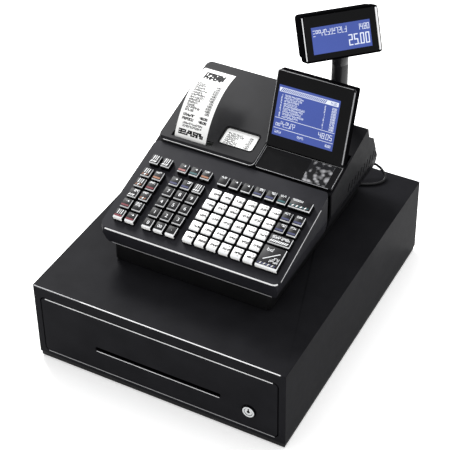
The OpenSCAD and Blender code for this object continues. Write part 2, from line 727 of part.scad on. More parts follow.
drawer_housing();
drawer_base();
rubber_feet();
fixed_rails();
drawer_box();
drawer_front();
moving_rails();
lock_barrel();
lock_plug();
latch_solenoid();
latch_bolt();
cash_till();
coin_tray();
bill_clip(0);  // bill_clip_1
bill_clip(1);  // bill_clip_2
bill_clip(2);  // bill_clip_3
bill_clip(3);  // bill_clip_4
base_case();
keyboard_case();
rear_case();
rear_panel();
main_board();
keyboard_board();
power_supply();
display_strip();
printer_cover();
cover_window();
printer_frame();
platen_roller();
receipt_roll();
journal_roll();
take_up_spool();
receipt_paper();
display_housing();
display_glass();
mast();
mast_neck();
customer_housing();
customer_glass();
drawer_cable();
cable_plug();
cable_grommet();
mains_inlet();
case_screws();
number_key(0, 5);  // key_0
number_key(0, 4);  // key_1
number_key(1, 4);  // key_2
number_key(2, 4);  // key_3
number_key(0, 3);  // key_4
number_key(1, 3);  // key_5
number_key(2, 3);  // key_6
number_key(0, 2);  // key_7
number_key(1, 2);  // key_8
number_key(2, 2);  // key_9
cash_key();
subtotal_key();
receipt_key();
clerk_keys();
function_keys();
department_keys();
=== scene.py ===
"""Looks of the cash register: finishes, key caps, screens, paper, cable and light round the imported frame.

Blender's lengths are metres. The local frames BASE, DECK, FACE and HEAD take millimetres, so that detail on
a sloping or leaning surface is written in that surface's own plane.
"""
import bpy
import bmesh
import json
import math
import random
from mathutils import Matrix, Vector


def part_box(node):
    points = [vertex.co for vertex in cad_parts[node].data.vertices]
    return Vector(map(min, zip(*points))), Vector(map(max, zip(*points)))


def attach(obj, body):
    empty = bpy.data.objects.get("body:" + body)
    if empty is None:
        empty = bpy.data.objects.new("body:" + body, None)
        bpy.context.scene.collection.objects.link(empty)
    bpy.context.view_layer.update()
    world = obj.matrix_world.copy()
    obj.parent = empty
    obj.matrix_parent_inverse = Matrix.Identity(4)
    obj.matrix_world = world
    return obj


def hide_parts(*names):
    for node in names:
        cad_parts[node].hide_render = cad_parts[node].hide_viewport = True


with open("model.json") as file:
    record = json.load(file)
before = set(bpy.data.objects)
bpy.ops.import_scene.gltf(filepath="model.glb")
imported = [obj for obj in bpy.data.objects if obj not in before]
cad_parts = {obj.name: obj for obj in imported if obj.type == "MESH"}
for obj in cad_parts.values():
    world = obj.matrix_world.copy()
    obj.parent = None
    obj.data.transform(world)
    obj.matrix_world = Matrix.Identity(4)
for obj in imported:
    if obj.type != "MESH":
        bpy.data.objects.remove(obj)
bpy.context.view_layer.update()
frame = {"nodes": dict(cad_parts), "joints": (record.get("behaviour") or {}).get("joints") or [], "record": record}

MM = 0.001
joints = {j["name"]: j for j in frame["joints"]}
slots = {s["node"]: s["material_slot"] for s in frame["record"]["subparts"]}
body_of = {n: b for b, nodes in frame["record"]["behaviour"]["bodies"].items() for n in nodes}


# ------------------------------------------------------------------ places

def place(joint, at, turn):
    """Local frame in millimetres whose point `at` is the joint's own point."""
    return (Matrix.Translation(joints[joint]["pos_m"]) @ turn @ Matrix.Scale(MM, 4)
            @ Matrix.Translation(-Vector(at)))


key_axis = joints["digit_0_press"]["axis"]
SLOPE = math.atan2(key_axis[1], -key_axis[2])
# x, distance up the slope, height above the key deck
DECK = place("cover_hinge", (-57, 322, -1), Matrix.Rotation(SLOPE, 4, "X"))

FACE_LEAN = math.radians(20)
# operator display: x from its middle, depth, height up its face
FACE = place("display_tilt", (0, 12, -6), Matrix.Rotation(-FACE_LEAN, 4, "X"))

HEAD_LEAN = math.radians(26)
head_axis = joints["customer_tilt"]["axis"]
HEAD_TURN = math.atan2(-head_axis[1], -head_axis[0])
# customer display: x and height from the middle of its face
HEAD = place("customer_tilt", (0, 14, -14),
             Matrix.Rotation(HEAD_TURN, 4, "Z") @ Matrix.Rotation(-HEAD_LEAN, 4, "X"))

FRONT_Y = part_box("drawer_front")[0].y
# drawer front and everything else that stands upright: x, depth behind the drawer's face, height
BASE = Matrix.Translation((0, FRONT_Y, 0)) @ Matrix.Scale(MM, 4)


# ------------------------------------------------------------------ camera

camera_data = bpy.data.cameras.new("camera")
camera_data.sensor_width = 36
camera_data.lens = 113.3
camera_data.shift_x = -0.0889
camera_data.shift_y = -0.2778
camera = bpy.data.objects.new("camera", camera_data)
camera.location = (0.77616, -1.42486, 1.48595)
camera.rotation_euler = (math.radians(55.546), 0, math.radians(26.992))
bpy.context.collection.objects.link(camera)
bpy.context.scene.camera = camera


# ------------------------------------------------------------------ materials

def material(name, color, rough, metal=0.0, alpha=1.0, glow=0.0, shine=0.5):
    """New material with the shader's constants set on its own sockets."""
    m = bpy.data.materials.new(name)
    m.use_nodes = True
    shader = m.node_tree.nodes["Principled BSDF"]
    shader.inputs["Base Color"].default_value = (*color, 1)
    shader.inputs["Roughness"].default_value = rough
    shader.inputs["Metallic"].default_value = metal
    shader.inputs["Specular IOR Level"].default_value = shine
    shader.inputs["Alpha"].default_value = alpha
    if glow:
        shader.inputs["Emission Color"].default_value = (*color, 1)
        shader.inputs["Emission Strength"].default_value = glow
    return m


def node(m, kind, **values):
    n = m.node_tree.nodes.new(kind)
    for key, value in values.items():
        if key in n.inputs:
            n.inputs[key].default_value = value
        else:
            setattr(n, key, value)
    return n


def object_space(m, stretch=(1, 1, 1)):
    """The piece's own coordinates, stretched for streaks."""
    coord = node(m, "ShaderNodeTexCoord")
    mapping = node(m, "ShaderNodeMapping", Scale=stretch)
    m.node_tree.links.new(coord.outputs["Object"], mapping.inputs["Vector"])
    return mapping.outputs["Vector"]


def noise(m, space, scale, detail=2.0):
    n = node(m, "ShaderNodeTexNoise", Scale=scale, Detail=detail)
    m.node_tree.links.new(space, n.inputs["Vector"])
    return n.outputs["Fac"]


def ramp(m, value, low, high, start=0.3, stop=0.7):
    """Value between start and stop turned into a colour or number between low and high."""
    r = node(m, "ShaderNodeMapRange" if isinstance(low, (int, float)) else "ShaderNodeValToRGB")
    if isinstance(low, (int, float)):
        for key, number in zip(("From Min", "From Max", "To Min", "To Max"), (start, stop, low, high)):
            r.inputs[key].default_value = number
        m.node_tree.links.new(value, r.inputs["Value"])
        return r.outputs["Result"]
    r.color_ramp.elements[0].position = start
    r.color_ramp.elements[1].position = stop
    r.color_ramp.elements[0].color = (*low, 1)
    r.color_ramp.elements[1].color = (*high, 1)
    m.node_tree.links.new(value, r.inputs["Fac"])
    return r.outputs["Color"]


def shade(color, share):
    """The same colour, made darker or lighter by that share."""
    return tuple(c * share for c in color)


def wire(m, output, socket):
    m.node_tree.links.new(output, m.node_tree.nodes["Principled BSDF"].inputs[socket])


def bump(m, height, depth):
    """Bump of that depth in metres."""
    b = node(m, "ShaderNodeBump", Strength=1.0, Distance=depth)
    m.node_tree.links.new(height, b.inputs["Height"])
    wire(m, b.outputs["Normal"], "Normal")


def textured(name, color, rough, grain=1500, depth=0.00003, spread=0.12, vary=0.04, streak=(1, 1, 1),
             **more):
    """Surface with fine grain in its bump, cloudy colour and uneven roughness.

    grain is in waves per metre and depth in metres. spread is the share that the colour varies by, and vary
    is how far the roughness goes either way.
    """
    m = material(name, color, rough, **more)
    space = object_space(m, streak)
    cloud = noise(m, space, 28, 3)
    wire(m, ramp(m, cloud, shade(color, 1 - spread), shade(color, 1 + spread)), "Base Color")
    wire(m, ramp(m, noise(m, space, 90, 4), max(rough - vary, 0.02), rough + vary), "Roughness")
    bump(m, noise(m, space, grain, 3), depth)
    return m


M = {
    "powder": textured("powder_coat", (0.0110, 0.0110, 0.0125), 0.40, grain=1100, depth=0.00003, vary=0.015,
                       shine=0.008),
    "case": textured("case_grain", (0.0150, 0.0150, 0.0182), 0.46, grain=2200, depth=0.00002, shine=0.06),
    "rear": textured("rear_grain", (0.0080, 0.0080, 0.0092), 0.46, grain=2200, depth=0.00002, shine=0.02),
    "skirt": textured("case_grain_dark", (0.0060, 0.0060, 0.0065), 0.5, grain=2200, depth=0.00002,
                      shine=0.12),
    "cover": textured("cover_satin", (0.0150, 0.0150, 0.0165), 0.42, grain=1800, depth=0.000015, shine=0.07),
    "gloss": textured("gloss_black", (0.0035, 0.0035, 0.0040), 0.12, grain=300, depth=0.000002, shine=0.12),
    "housing": textured("display_case", (0.0022, 0.0022, 0.0025), 0.5, grain=2200, depth=0.000015,
                        shine=0.0),
    "mast": textured("mast_satin", (0.0165, 0.0165, 0.0185), 0.3, grain=2200, depth=0.00001, shine=0.4),
    "silver": textured("silver_trim", (0.34, 0.34, 0.35), 0.3, grain=900, depth=0.000004, spread=0.05,
                       metal=0.6, streak=(1, 1, 6)),
    # lip, edge and edge_dim: pale greys for painted highlights, thin beads that stand for the light caught on
    # rounded edges
    "lip": textured("lip_highlight", (0.80, 0.80, 0.81), 0.25, grain=900, depth=0.000004, spread=0.04),
    "edge": textured("edge_highlight", (0.75, 0.75, 0.76), 0.3, grain=900, depth=0.000004, spread=0.08),
    "edge_dim": textured("edge_highlight_soft", (0.35, 0.35, 0.36), 0.35, grain=900, depth=0.000004, spread=0.08),
    "chrome": textured("lock_chrome", (0.62, 0.63, 0.64), 0.2, grain=700, depth=0.000003, spread=0.03,
                       metal=1.0),
    "zinc": textured("zinc_steel", (0.55, 0.56, 0.58), 0.32, grain=500, depth=0.00001, spread=0.16,
                     metal=1.0, streak=(1, 0.15, 1)),
    "rubber": textured("rubber_foot", (0.006, 0.006, 0.0065), 0.75, grain=1600, depth=0.00005, shine=0.1),
    "till": textured("till_plastic", (0.012, 0.012, 0.013), 0.48, grain=900, depth=0.00005, shine=0.3),
    "paper": textured("thermal_paper", (0.92, 0.92, 0.91), 0.62, grain=2600, depth=0.000008, spread=0.02),
    # journal glows though it is no lamp: painted light that lifts the paper out of the shade under the cover's
    # window
    "journal": textured("journal_paper_painted_glow", (0.92, 0.92, 0.91), 0.62, grain=2600, depth=0.000008, spread=0.02,
                        glow=0.5),
    "print": textured("thermal_print", (0.010, 0.010, 0.011), 0.55, grain=2600, depth=0.000004, shine=0.1),
    "board": textured("circuit_board", (0.012, 0.085, 0.035), 0.30, grain=350, depth=0.00002, spread=0.3),
    "chip": textured("chip_black", (0.010, 0.010, 0.011), 0.45, grain=2500, depth=0.00001, shine=0.3),
    "iron": textured("transformer_stack", (0.16, 0.17, 0.18), 0.45, grain=60, depth=0.0001,
                     streak=(1, 1, 30), metal=0.7),
    "copper": textured("winding_tape", (0.55, 0.38, 0.06), 0.40, grain=400, depth=0.00002),
    "spool": textured("spool_grey", (0.10, 0.105, 0.11), 0.45, grain=1800, depth=0.00002),
    "cable": textured("cable_jacket", (0.007, 0.007, 0.008), 0.4, grain=1500, depth=0.00001, shine=0.2),
    "cap": textured("key_black", (0.0035, 0.0035, 0.0040), 0.4, grain=2400, depth=0.00001, shine=0.12),
    "cap_white": textured("key_white", (0.80, 0.80, 0.79), 0.32, grain=2400, depth=0.00001, spread=0.03),
    # rim: painted highlight for the glint on the front and right edges of the keys' clear caps
    "rim": textured("key_edge_painted_highlight", (0.85, 0.86, 0.87), 0.2, grain=600, depth=0.000004, spread=0.05),
    "label": textured("label_black", (0.0085, 0.0085, 0.0095), 0.45, grain=900, depth=0.000004, shine=0.1),
    "label_white": textured("label_white", (0.90, 0.90, 0.89), 0.25, grain=900, depth=0.000004, spread=0.02),
    "ink": textured("ink_white", (0.72, 0.73, 0.74), 0.35, grain=900, depth=0.000002, spread=0.04),
    "line": textured("ink_grey", (0.52, 0.52, 0.52), 0.35, grain=900, depth=0.000002),
    "ink_dark": textured("ink_black", (0.010, 0.010, 0.012), 0.35, grain=900, depth=0.000002, shine=0.2),
    "red": textured("ink_red", (0.13, 0.006, 0.015), 0.30, grain=900, depth=0.000002, shine=0.3),
    "pink": textured("ink_pink", (0.25, 0.09, 0.085), 0.30, grain=900, depth=0.000002, shine=0.3),
    "orange": textured("ink_orange", (0.24, 0.10, 0.05), 0.30, grain=900, depth=0.000002, shine=0.3),
    "teal": textured("ink_teal", (0.012, 0.07, 0.08), 0.30, grain=900, depth=0.000002, shine=0.3),
    "blue": textured("ink_blue", (0.03, 0.035, 0.10), 0.30, grain=900, depth=0.000002, shine=0.3),
}


def window_glass():
    m = material("clear_window", (0.55, 0.57, 0.58), 0.05, alpha=0.04, shine=0.3)
    space = object_space(m)
    wire(m, ramp(m, noise(m, space, 60, 2), 0.03, 0.09), "Roughness")
    return m


def lcd(name, color, glow):
    """Lit screen with the faint grid of its dots."""
    m = material(name, color, 0.3, glow=glow, shine=0.2)
    space = object_space(m)
    cells = node(m, "ShaderNodeTexVoronoi", Scale=2600.0)
    m.node_tree.links.new(space, cells.inputs["Vector"])
    tint = ramp(m, cells.outputs["Distance"], shade(color, 1.06), shade(color, 0.9), 0.2, 0.9)
    wire(m, tint, "Emission Color")
    wire(m, ramp(m, noise(m, space, 12, 1), shade(color, 0.12), shade(color, 0.2)), "Base Color")
    return m


def patch_art():
    """Soft abstract greys under the gloss of the strip."""
    m = material("strip_art", (0.2, 0.2, 0.2), 0.2, shine=0.2)
    space = object_space(m)
    warp = noise(m, space, 90, 2)
    cells = node(m, "ShaderNodeTexVoronoi", Scale=130.0, feature="SMOOTH_F1")
    m.node_tree.links.new(space, cells.inputs["Vector"])
    mix = node(m, "ShaderNodeMath", operation="MULTIPLY")
    m.node_tree.links.new(warp, mix.inputs[0])
    m.node_tree.links.new(cells.outputs["Distance"], mix.inputs[1])
    wire(m, ramp(m, mix.outputs[0], (0.34, 0.34, 0.35), (0.003, 0.003, 0.004), 0.10, 0.23), "Base Color")
    return m


M["window"] = window_glass()
M["screen"] = lcd("lcd_blue", (0.072, 0.115, 0.43), 0.78)
M["lit"] = lcd("lcd_white", (0.82, 0.87, 0.98), 0.95)
M["art"] = patch_art()


# ------------------------------------------------------------------ mesh building

class Build:
    """Faces of one piece, each with the number of its material."""

    def __init__(self, *names):
        self.bm = bmesh.new()
        self.names = list(names)

    def mat(self, name):
        if name not in self.names:
            self.names.append(name)
        return self.names.index(name)

    def loft(self, space, rings, names, ends=(True, True)):
        """Skin between rings of equally many points; names gives each band's material, then each end's."""
        put = space if callable(space) else lambda p: space @ Vector(p)
        rows = [[self.bm.verts.new(put(p)) for p in ring] for ring in rings]
        count = len(rows[0])
        for i in range(len(rows) - 1):
            band = names[min(i, len(names) - 1)]
            for k in range(count):
                q = (k + 1) % count
                f = self.bm.faces.new([rows[i][k], rows[i][q], rows[i + 1][q], rows[i + 1][k]])
                f.material_index = self.mat(band(k) if callable(band) else band)
        if ends[0]:
            self.bm.faces.new(list(reversed(rows[0]))).material_index = self.mat(names[0])
        if ends[1]:
            self.bm.faces.new(rows[-1]).material_index = self.mat(names[-1])

    def box(self, space, low, high, name):
        (a, b, c), (d, e, f) = low, high
        self.loft(space, [[(a, b, z), (d, b, z), (d, e, z), (a, e, z)] for z in (c, f)], [name])

    def sweep(self, space, points, radius, name, sides=12):
        """Round bar along local points."""
        points = [Vector(p) for p in points]
        rings = []
        for i, p in enumerate(points):
            along = (points[min(i + 1, len(points) - 1)] - points[max(i - 1, 0)]).normalized()
            side = along.cross(Vector((0, 0, 1)) if abs(along.z) < 0.9 else Vector((1, 0, 0))).normalized()
            up = side.cross(along)
            rings.append([p + radius * (math.cos(a) * side + math.sin(a) * up)
                          for a in (k * math.tau / sides for k in range(sides))])
        self.loft(space, rings, [name])

    def piece(self, name, body, bevel=0.0, crisp=38):
        """The finished object. Faces are smooth, with edges sharper than `crisp` degrees kept."""
        bm = self.bm
        bmesh.ops.remove_doubles(bm, verts=bm.verts, dist=1e-7)
        bmesh.ops.recalc_face_normals(bm, faces=bm.faces)
        for f in bm.faces:
            f.smooth = True
        for e in bm.edges:
            e.smooth = len(e.link_faces) == 2 and e.calc_face_angle(0) < math.radians(crisp)
        mesh = bpy.data.meshes.new(name)
        bm.to_mesh(mesh)
        bm.free()
        for n in self.names:
            mesh.materials.append(M[n])
        obj = bpy.data.objects.new(name, mesh)
        bpy.context.collection.objects.link(obj)
        if bevel:
            round_edges(obj, bevel)
        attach(obj, body)
        return obj


def round_edges(obj, width, segments=3, angle=35, weld=False):
    """Rounds an object's sharp edges by that width in metres."""
    if weld:
        w = obj.modifiers.new("weld", "WELD")
        w.merge_threshold = 1e-5
    b = obj.modifiers.new("round", "BEVEL")
    b.width = width
    b.segments = segments
    b.limit_method = "ANGLE"
    b.angle_limit = math.radians(angle)
    b.harden_normals = True
    b.use_clamp_overlap = True


def ring(x0, y0, x1, y1, r, z, steps=4):
    """Rounded rectangle of points at height z."""
    out = []
    left, right, front, back = x0 + r, x1 - r, y0 + r, y1 - r
    for cx, cy, start in ((right, back, 0), (left, back, 90), (left, front, 180), (right, front, 270)):
        for k in range(steps + 1):
            a = math.radians(start + 90 * k / steps)
            out.append((cx + r * math.cos(a), cy + r * math.sin(a), z))
    return out


def glyph(text, size):
    """Flat outline faces of the built-in typeface's numbers, centred on the origin."""
    curve = bpy.data.curves.new("glyph", "FONT")
    curve.body = text
    curve.size = size
    curve.resolution_u = 3
    curve.align_x = "CENTER"
    obj = bpy.data.objects.new("glyph", curve)
    mesh = bpy.data.meshes.new_from_object(obj)
    points = [v.co.copy() for v in mesh.vertices]
    faces = [list(p.vertices) for p in mesh.polygons]
    bpy.data.objects.remove(obj)
    bpy.data.curves.remove(curve)
    bpy.data.meshes.remove(mesh)
    middle = (min(p.y for p in points) + max(p.y for p in points)) / 2
    return [[(points[i].x, points[i].y - middle) for i in f] for f in faces]


# how far print stands over its surface, in millimetres
INK = 0.05

# the seven strokes of a figure, each from one corner to another of a box 1 wide and 2 high
STROKES = [((0, 2), (1, 2)), ((1, 2), (1, 1)), ((1, 1), (1, 0)), ((0, 0), (1, 0)), ((0, 1), (0, 0)),
           ((0, 2), (0, 1)), ((0, 1), (1, 1))]
FIGURES = {"0": "012345", "1": "12", "2": "01643", "3": "01623", "4": "5612", "5": "05623",
           "6": "056234", "7": "012", "8": "0123456", "9": "012356", "-": "6"}


def figure(build, space, strokes, x, y, w, h, t, z, name):
    """One figure of a lit or printed number, drawn with strokes of thickness t."""
    for s in strokes:
        (ax, ay), (bx, by) = STROKES[int(s)]
        x0, x1 = x + min(ax, bx) * w - t / 2, x + max(ax, bx) * w + t / 2
        y0, y1 = y + min(ay, by) * h / 2 - t / 2, y + max(ay, by) * h / 2 + t / 2
        build.box(space, (x0, y0, z - 0.1), (x1, y1, z), name)


def number(build, space, text, right, y, w, h, t, z, name, gap=1.55):
    """A number set from its right edge, with a small square for the point."""
    x = right - w
    for c in reversed(text):
        if c == ".":
            x -= w * 0.3
            middle = x + w + w * (gap - 0.7) / 2
            build.box(space, (middle - t / 2, y - t / 2, z - 0.1), (middle + t / 2, y + t / 2, z), name)
            continue
        figure(build, space, FIGURES[c], x, y, w, h, t, z, name)
        x -= w * gap


def scribble(build, space, rng, x, y, count, w, h, t, z, name, gap=1.6):
    """A row of made-up signs that stands for words."""
    for _ in range(count):
        strokes = rng.sample("0123456", rng.choice((3, 4, 4, 5)))
        figure(build, space, strokes, x, y, w, h, t, z, name)
        x += w * gap


# local frame that stands on a face: its y axis is the face's height, its z points out of the face
UPRIGHT = Matrix.Rotation(math.radians(90), 4, "X")
# the same on a face that looks backwards
AWAY = Matrix.Rotation(math.radians(-90), 4, "X")


# ------------------------------------------------------------------ drawer lead

# from the plug on the back of the case round to the hole in the drawer's top, as the CAD routes it
LEAD = [
    (0.104, 0.1865, 0.152), (0.104, 0.1945, 0.1525), (0.105, 0.2035, 0.1545), (0.109, 0.2125, 0.1565),
    (0.117, 0.2195, 0.157), (0.126, 0.224, 0.1555), (0.135, 0.2255, 0.1515), (0.1425, 0.224, 0.1465),
    (0.148, 0.2195, 0.1424), (0.150, 0.2125, 0.1398), (0.1475, 0.205, 0.1392), (0.1415, 0.198, 0.1392),
    (0.133, 0.192, 0.1392), (0.124, 0.1873, 0.1392), (0.114, 0.1839, 0.1392), (0.105, 0.1823, 0.1392),
    (0.0975, 0.1817, 0.1392), (0.0936, 0.1815, 0.1392), (0.0892, 0.1815, 0.140), (0.0854, 0.1815, 0.1424),
    (0.0814, 0.1815, 0.1444), (0.0768, 0.1815, 0.1438), (0.0733, 0.1815, 0.1409), (0.072, 0.1815, 0.1365),
    (0.072, 0.1815, 0.133),
]
LEAD_WIDTH = 0.004


def drawer_lead():
    curve = bpy.data.curves.new("drawer_lead", "CURVE")
    curve.dimensions = "3D"
    curve.bevel_depth = LEAD_WIDTH / 2
    curve.bevel_resolution = 6
    curve.resolution_u = 8
    curve.use_fill_caps = True
    spline = curve.splines.new("BEZIER")
    spline.bezier_points.add(len(LEAD) - 1)
    for point, place_at in zip(spline.bezier_points, LEAD):
        point.co = place_at
        point.handle_left_type = "AUTO"
        point.handle_right_type = "AUTO"
    lead = bpy.data.objects.new("drawer_lead", curve)
    bpy.context.collection.objects.link(lead)
    curve.materials.append(M["cable"])
    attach(lead, "chassis")
    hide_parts("drawer_cable")


# ------------------------------------------------------------------ finishes of the CAD nodes

# node name: (material, width of its rounded edges in millimetres)
FINISH = {
    # drawer_base takes the dark case grain: a dark base pan, made this dark partly as painted shade for the black
    # band under the drawer
    "drawer_housing": ("powder", 0.9), "drawer_base": ("skirt", 0.3), "rubber_feet": ("rubber", 0.8),
    "fixed_rails": ("zinc", 0.2), "moving_rails": ("zinc", 0.2), "drawer_box": ("powder", 0.3),
    "drawer_front": ("powder", 0.8), "lock_barrel": ("chrome", 0.5), "lock_plug": ("chrome", 0.25),
    "latch_solenoid": ("zinc", 0.6), "latch_bolt": ("zinc", 0.5), "cash_till": ("till", 0.8),
    "bill_clip_1": ("zinc", 0.3), "bill_clip_2": ("zinc", 0.3), "bill_clip_3": ("zinc", 0.3),
    "bill_clip_4": ("zinc", 0.3), "base_case": ("skirt", 0.6), "coin_tray": ("till", 0.8),
    "keyboard_case": ("case", 0.8), "rear_case": ("rear", 0.9), "rear_panel": ("skirt", 0.3),
    "main_board": ("board", 0.1), "keyboard_board": ("board", 0.1), "power_supply": ("iron", 0.5),
    "display_strip": ("gloss", 0.5), "printer_cover": ("cover", 0.8), "cover_window": ("window", 0.2),
    "printer_frame": ("zinc", 0.3), "platen_roller": ("rubber", 0.3), "receipt_roll": ("paper", 0.3),
    "journal_roll": ("paper", 0.3), "take_up_spool": ("spool", 0.3), "display_housing": ("housing", 1.0),
    "display_glass": ("gloss", 0.4), "mast": ("mast", 0.4), "mast_neck": ("mast", 0.5),
    "customer_housing": ("housing", 1.2), "customer_glass": ("gloss", 0.4), "cable_plug": ("skirt", 0.4),
    "cable_grommet": ("rubber", 0.3), "mains_inlet": ("skirt", 0.4), "case_screws": ("zinc", 0.2),
}


def finish_nodes():
    for name, (finish, width) in FINISH.items():
        obj = frame["nodes"][name]
        if not obj.material_slots:
            obj.data.materials.append(M[finish])
        for s in obj.material_slots:
            s.material = M[finish]
        round_edges(obj, width * MM, weld=True)


# ------------------------------------------------------------------ keys

CAP_TOP = 9.0
FLANGE = 1.2


def islands(node):
    """Boxes (x0, s0, x1, s1) on the deck of the caps in a key node, from its own mesh."""
    bm = bmesh.new()
    bm.from_mesh(frame["nodes"][node].data)
    bmesh.ops.remove_doubles(bm, verts=bm.verts, dist=1e-6)
    back = DECK.inverted()
    left = set(bm.verts)
    out = []
    while left:
        stack = [left.pop()]
        caps = []
        while stack:
            v = stack.pop()
            p = back @ v.co
            if p.z > CAP_TOP - 1:
                caps.append(p)
            for e in v.link_edges:
                w = e.other_vert(v)
                if w in left:
                    left.remove(w)
                    stack.append(w)
        xs = [p.x for p in caps]
        ys = [p.y for p in caps]
        out.append((min(xs), min(ys), max(xs), max(ys)))
    bm.free()
    return sorted(out, key=lambda b: (-round(b[1]), b[0]))


def side_of(k, steps=4):
    """Side of a cap that band k of its ring faces: right, back, left or front."""
    corner, j = divmod(k, steps + 1)
    angle = 90 * (corner + 1) if j == steps else 90 * (corner + (j + 0.5) / steps)
    return ("right", "back", "left", "front")[int(((angle + 45) % 360) // 90)]


def painted(**sides):
    """Band material by side; `rest` covers the sides that aren't named."""
    return lambda k: sides.get(side_of(k), sides["rest"])


# caps that start nearer the deck's front edge than this are the front row
FRONT_ROW = 20
# caps wider than this carry twice as many signs
WIDE_CAP = 20


def cap(build, box, top):
    """Tapered cap with a flange below the deck, its clear edge at the front and right drawn as a painted
    highlight, and a label on top.
    """
    x0, s0, x1, s1 = box
    white = top == "label_white"
    first = s0 < FRONT_ROW
    front = 2.2 if first else (1.6 if white else 1.0)
    left, right, back = (0.5, 0.7, 0.7) if white else (0.8, 1.0 if first else 0.7, 0.8)
    corner = 0.5 if white else 0.8
    rings = [
        ring(x0 - FLANGE, s0 - FLANGE, x1 + FLANGE, s1 + FLANGE, 1.4, -6),
        ring(x0 - FLANGE, s0 - FLANGE, x1 + FLANGE, s1 + FLANGE, 1.4, -4.6),
        ring(x0, s0, x1, s1, 1.0, -4.6),
        ring(x0, s0, x1, s1, 1.0, 2.5 if first else CAP_TOP - 3.2),
        ring(x0, s0, x1, s1, 1.0, CAP_TOP - 2.0),
        ring(x0 + 0.2, s0 + 0.4, x1 - 0.2, s1 - 0.2, 1.0, CAP_TOP - 1.2),
        ring(x0 + left, s0 + front, x1 - right, s1 - back, corner, CAP_TOP - 0.12),
        ring(x0 + left + 0.2, s0 + front + 0.2, x1 - right - 0.2, s1 - back - 0.2, corner - 0.2, CAP_TOP),
    ]
    # painted highlight: the upper front face of front-row caps is white, and every cap's front shoulder and front
    # and right top edges take rim, for the glint of the clear caps toward the lamps; left and back edges keep the
    # cap's own dark
    face = painted(front="cap_white" if first else "cap", rest="cap")
    shoulder = painted(front="rim", rest="label_white" if white else "cap")
    edge = painted(front="rim", right="rim", rest=top)
    build.loft(DECK, rings, ["cap", "cap", "cap", face, shoulder, edge, top, top])


def bar(build, space, x0, y0, x1, y1, name, up=INK):
    build.box(space, (x0, y0, -0.1), (x1, y1, up), name)


def slants(build, space, x0, y0, x1, y1, count, names):
    """Slanting stripes side by side."""
    step = (x1 - x0) / count
    for k in range(count):
        a = x0 + k * step
        lean = (y1 - y0) * 0.6
        low = [(a, y0), (a + step * 0.6, y0), (a + step * 0.6 + lean, y1), (a + lean, y1)]
        stamp(build, space, low, names[k % len(names)])


def stamp(build, space, outline, name, up=INK):
    """Flat shape printed on a surface: a thin closed plate sunk into it."""
    build.loft(space, [[(x, y, z) for x, y in outline] for z in (-0.1, up)], [name])


# letters for the marks on a cap: a coloured bar, or a row of stripes with its count and inks
BARS = {"R": "red", "P": "pink", "O": "orange", "T": "teal", "B": "blue"}
STRIPES = {
    "H": (3, ("orange", "ink")),
    "Z": (9, ("teal", "ink")),
    "S": (3, ("ink", "line")),
    "s": (3, ("ink",)),
}


def legend(build, space, rng, marks, w, l):
    """Print on a cap's top, w wide and l long. Each letter of marks is one kind of mark."""
    x0, x1, y0, y1 = -w / 2 + 1.3, w / 2 - 2.0, -l / 2 + 2.0, l / 2 - 1.6
    top = y1
    for m in marks:
        if m in BARS:
            bar(build, space, x0, y0, x1, y0 + 3.0, BARS[m])
        if m in STRIPES:
            count, names = STRIPES[m]
            slants(build, space, x0, y0, x1 - 1.8, y0 + 3.0, count, names)
        if m == "a":
            count = 3 if w < WIDE_CAP else 6
            scribble(build, space, rng, x0 + 1.6, top - 2.9, count, 1.7, 2.7, 0.6, INK, "ink", 1.6)
            top -= 4.2
        if m == "b":
            scribble(build, space, rng, x0 + 1.6, top - 2.4, 3, 1.6, 2.2, 0.6, INK, "ink", 1.7)
            top -= 3.6
        if m == "c":
            bar(build, space, 0.6, top - 4.4, 2.6, top - 2.2, "ink")
            bar(build, space, -1.6, top - 3.6, -0.6, top - 3.0, "line")
            top -= 5.2
        if m == "e":
            scribble(build, space, rng, 0.2, top - 4.2, 2, 2.0, 3.4, 0.8, INK, "ink", 1.5)
            top -= 5.2
        if m == "n":
            for k in range(3):
                x = x0 + 2.2 + 3.0 * k
                slant = [(x, y0 + 4.2), (x + 1.0, y0 + 4.2), (x + 1.6, y1), (x + 0.6, y1)]
                stamp(build, space, slant, "ink" if k != 1 else "line")


def price_marks(build, space, rng, w, l):
    """Marks on a white department key: a dark line of signs, faint ones under it and small ones over it."""
    for k in range(2):
        x = w * (-0.30 + 0.10 * k)
        bar(build, space, x, l * 0.16, x + 0.8, l * rng.choice((0.30, 0.34)), "line")
    bar(build, space, w * 0.24, l * 0.20, w * 0.24 + 1.8, l * 0.20 + 1.8, "ink_dark")
    bar(build, space, w * 0.02, l * 0.24, w * 0.02 + 1.2, l * 0.24 + 1.2, "ink_dark")
    scribble(build, space, rng, -w * 0.20, -l * 0.14, 4, 1.9, 2.6, 1.0, INK, "ink_dark", 1.5)
    scribble(build, space, rng, w * 0.02, -l * 0.36, 2, 1.8, 1.8, 0.8, INK, "line", 1.5)


# marks on the keys of each group, row by row from the back
CLERK = ["nS", "nS", "nH", "aO", "nH", "aR", "eS", "aH", "cR", "ab", "nR", "cR"]
FUNCTION = ["cP", "cT", "aO", "cB", "eB", "ns", "aB", "aB", "eB", "aB"]
FUNCTION_SIGNS = ["00", "."]
DEPARTMENT = ["a", "c", "c", "eB", "eB", "aT"]


def lettering(build, space, text, size, name="ink"):
    for outline in glyph(text, size):
        stamp(build, space, outline, name)


